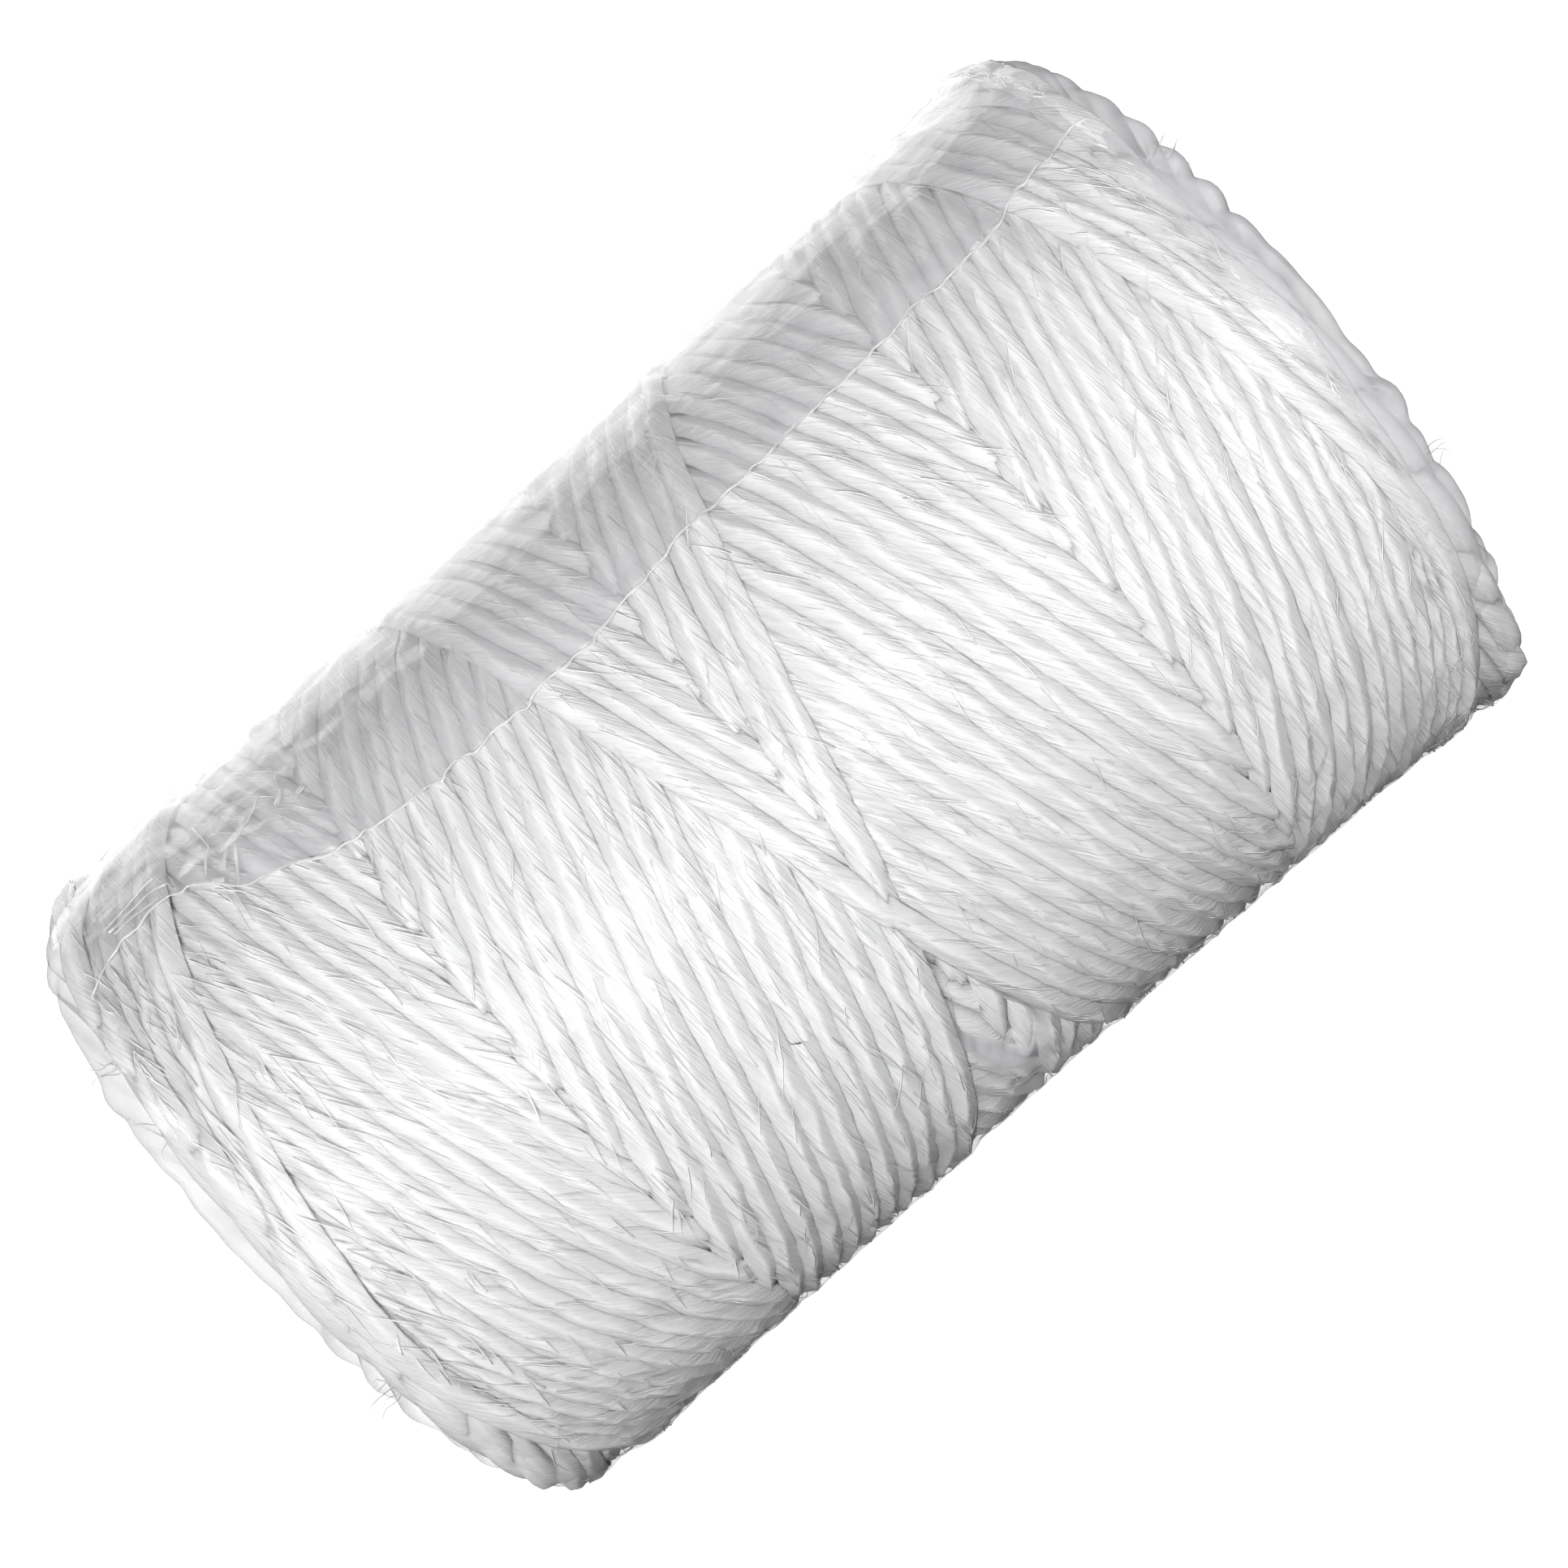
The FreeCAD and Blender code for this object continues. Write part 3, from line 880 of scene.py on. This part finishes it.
def paperboard_material(name, light, dark, spiral_pitch):
    """Kraft paperboard: fibrous, with the faint edge of the strip that the tube is wound from."""
    shade = Shading(name)
    place = shade.add("TexCoord").outputs["Object"]
    fibres = shade.noise(shade.stretched(place, 300.0, 1100.0, 1100.0), 1.0, 4.0)
    flecks = shade.noise(place, 2600.0, 2.0)
    split = shade.add("SeparateXYZ", Vector=place)
    height = shade.math("SUBTRACT", split.outputs["Z"], AXIS_HEIGHT)
    angle = shade.math("DIVIDE", shade.math("ARCTAN2", height, split.outputs["Y"]), FULL_TURN)
    travel = shade.math("DIVIDE", split.outputs["X"], spiral_pitch)
    spiral = shade.math("FRACT", shade.math("ADD", angle, travel))
    edge = shade.math("LESS_THAN", spiral, 0.02)
    tone = shade.math("SUBTRACT", shade.math("ADD", fibres, shade.math("MULTIPLY", flecks, 0.3)),
                      shade.math("MULTIPLY", edge, 0.35))
    colour = shade.ramp(tone, (0.35, dark), (0.85, light))
    bump = shade.add("Bump", Strength=0.4, Distance=0.2 * MM, Height=tone).outputs[0]
    surface = shade.add("BsdfPrincipled", Base_Color=colour, Roughness=0.85, Specular_IOR_Level=0.2,
                        Normal=bump)
    return shade.finish(surface.outputs[0])


def floor_material():
    """A pale table, lit through from below."""
    shade = Shading("floor")
    surface = shade.add("BsdfPrincipled", Base_Color=(0.86, 0.86, 0.86, 1), Roughness=0.9,
                        Specular_IOR_Level=0.1, Emission_Color=(1, 1, 1, 1), Emission_Strength=0.6)
    return shade.finish(surface.outputs[0])


# ---- Build ----
def build_twine():
    """The twine as one line from the tube to its last end, in a buried length and a few finer outer
    ones. Gives the pieces and the line."""
    line = spline_line(twine_route())
    length = lengths_along(line)
    rng = np.random.default_rng(SEED + 1)
    material = twine_material()
    cuts = np.append(0, np.linspace(length[-1] - FINE_LENGTH, length[-1], FINE_PIECES + 1))
    pieces = []
    for k, (low, high) in enumerate(zip(cuts[:-1], cuts[1:])):
        first, last = np.searchsorted(length, [low, high])
        part = line[first:last + 1]
        name = f"twine_outer_length_{k}" if k else "twine_buried_length"
        top_points = TOP_POINTS if k else BURIED_TOP_POINTS
        piece = strand_tube(name, part, length[first], top_points, rng, material)
        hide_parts("twine_winding")
        pieces.append(piece)
    return pieces, line


def wrap_twine(twine_pieces, twine_line):
    """Everything round the twine: its loose fibres, and the film."""
    rng = np.random.default_rng(SEED + 2)
    top = top_map(twine_pieces[1:])
    film_radius = smooth_map(highest_near(top, 1), 2) + FILM_GAP
    hollow = hollows(top)
    signed_turn = (FILM_TURNS[None] + math.pi) % FULL_TURN - math.pi
    film_radius = film_radius + puckers(FILM_PLACES[:, None], signed_turn, rng)
    fibre = fibre_material()
    build_fibres(twine_line, top, rng, fibre)
    build_tufts(rng, fibre)
    film = film_material()
    weld = weld_material()
    sleeve, points = build_sleeve(film_radius, hollow, film)
    left = build_gather("film_gather_left", "film_end_fold_left", -1, points[0], rng, film)
    right = build_gather("film_gather_right", "film_end_fold_right", 1, points[-1], rng, film)
    overlap = build_overlap(film_radius, rng, film)
    build_seam(film_radius, rng, weld)
    # The weld's material also makes the creases and the broad beads that are painted glints.
    build_creases_and_glints(film_radius, rng, weld)


def finish_tube():
    """Gives the paperboard tube's plies their material."""
    inner = paperboard_material("paperboard_inner", (0.62, 0.50, 0.36), (0.47, 0.36, 0.24), 0.061)
    outer = paperboard_material("paperboard_outer", (0.66, 0.55, 0.41), (0.50, 0.39, 0.27), 0.083)
    for name, material in (("core_inner_ply", inner), ("core_outer_ply", outer)):
        ply = bpy.data.objects[name]
        ply.data.materials.clear()
        ply.data.materials.append(material)


FLOOR_HALF = 3.0


def build_floor():
    mesh = bpy.data.meshes.new("floor")
    corners = [(x * FLOOR_HALF, y * FLOOR_HALF, 0) for x, y in ((-1, -1), (1, -1), (1, 1), (-1, 1))]
    mesh.from_pydata(corners, [], [(0, 1, 2, 3)])
    floor = bpy.data.objects.new("floor", mesh)
    bpy.context.scene.collection.objects.link(floor)
    mesh.materials.append(floor_material())
    floor.visible_diffuse = False       # the bright floor neither lights the roll
    floor.visible_glossy = False        # nor shows in its gloss


# Each light's name, azimuth and elevation in degrees, size in metres and power in watts. Azimuth 0 is
# the front (-Y) and 90 is the right end (+X).
LIGHTS = [("key", -8, 37, 0.3, 5.7), ("back", 180, 0, 0.7, 3.9), ("left", -90, 6, 0.4, 2.2),
          ("right", 90, 6, 0.4, 2.2)]
LIGHT_DISTANCE = 0.7
WORLD_STRENGTH = 0.01


def area_light(name, azimuth, elevation, size, power):
    """A soft round light, aimed at the roll."""
    light = bpy.data.lights.new(name, "AREA")
    light.shape = "DISK"
    light.size = size
    light.energy = power
    lamp = bpy.data.objects.new(name, light)
    lamp.visible_camera = False
    bpy.context.scene.collection.objects.link(lamp)
    azimuth, elevation = math.radians(azimuth), math.radians(elevation)
    level = math.cos(elevation)
    away = Vector((math.sin(azimuth) * level, -math.cos(azimuth) * level, math.sin(elevation)))
    lamp.location = Vector((0, 0, AXIS_HEIGHT)) + LIGHT_DISTANCE * away
    lamp.rotation_euler = (-away).to_track_quat("-Z", "Y").to_euler()


def build_lights():
    scene = bpy.context.scene
    scene.world = bpy.data.worlds.new("world")
    scene.world.use_nodes = True
    background = scene.world.node_tree.nodes["Background"]
    background.inputs["Color"].default_value = (1, 1, 1, 1)
    background.inputs["Strength"].default_value = WORLD_STRENGTH
    for light in LIGHTS:
        area_light(*light)
    scene.view_settings.view_transform = "Standard"


CAMERA_DISTANCE = 6.9 * FILM_RADIUS
CAMERA_LENS = 61.7                  # millimetres
CAMERA_ROLL = math.radians(-41.8)   # this slants the roll up to the right


def build_camera():
    """The camera looks at the roll's middle, square to its axis and from VIEW_ELEVATION above."""
    data = bpy.data.cameras.new("camera")
    data.lens = CAMERA_LENS
    data.sensor_width = 36
    data.clip_start = 0.001
    camera = bpy.data.objects.new("camera", data)
    bpy.context.scene.collection.objects.link(camera)
    away = Vector((0, -math.cos(VIEW_ELEVATION), math.sin(VIEW_ELEVATION)))
    place = Vector((0, 0, AXIS_HEIGHT)) + CAMERA_DISTANCE * away
    aim = (-away).to_track_quat("-Z", "Y").to_matrix() @ Matrix.Rotation(CAMERA_ROLL, 3, "Z")
    camera.matrix_world = Matrix.Translation(place) @ aim.to_4x4()
    bpy.context.scene.camera = camera


build_camera()
twine_pieces, twine_line = build_twine()
wrap_twine(twine_pieces, twine_line)
finish_tube()
build_floor()
build_lights()
